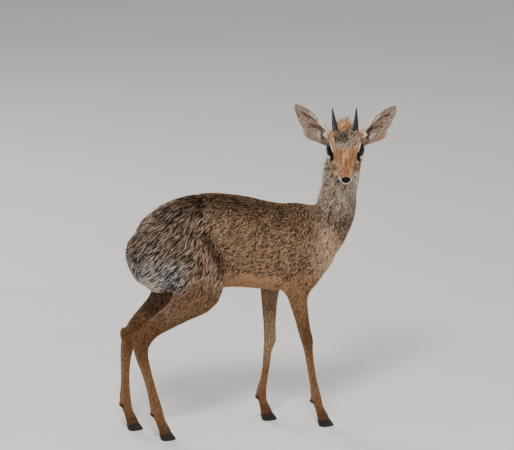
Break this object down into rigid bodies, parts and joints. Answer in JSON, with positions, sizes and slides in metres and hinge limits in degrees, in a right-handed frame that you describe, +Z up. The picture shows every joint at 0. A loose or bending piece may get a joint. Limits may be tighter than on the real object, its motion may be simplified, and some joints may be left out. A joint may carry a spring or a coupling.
{
  "type": "dik-dik",
  "caption": "Small slender antelope with short horns and large ears, standing on four thin legs with its head turned to look over one shoulder.",
  "frame": {"origin": "on the floor, under the middle of the whole animal", "axes": "+X is the way the body faces, +Y is the animal's left, +Z is up; the head looks towards -Y"},
  "size_m": [0.5009, 0.1671, 0.5647],
  "materials": {
    "coat": "short grizzled hair",
    "ear": "thin skin with short pale hair",
    "eye": "wet gloss",
    "horn": "ringed, satin",
    "nose": "moist fine grain",
    "hoof": "worn satin"
  },
  "bodies": {
    "root": {"torso": "coat", "neck": "coat", "head": "coat", "tail": "coat", "leg_fore_left": "coat", "leg_fore_right": "coat", "leg_hind_left": "coat", "leg_hind_right": "coat", "ear_left": "ear", "ear_right": "ear", "eye_left": "eye", "eye_right": "eye", "horn_left": "horn", "horn_right": "horn", "nose": "nose", "hoof_fore_left_inner": "hoof", "hoof_fore_left_outer": "hoof", "hoof_fore_right_inner": "hoof", "hoof_fore_right_outer": "hoof", "hoof_hind_left_inner": "hoof", "hoof_hind_left_outer": "hoof", "hoof_hind_right_inner": "hoof", "hoof_hind_right_outer": "hoof"}
  },
  "joints": []
}
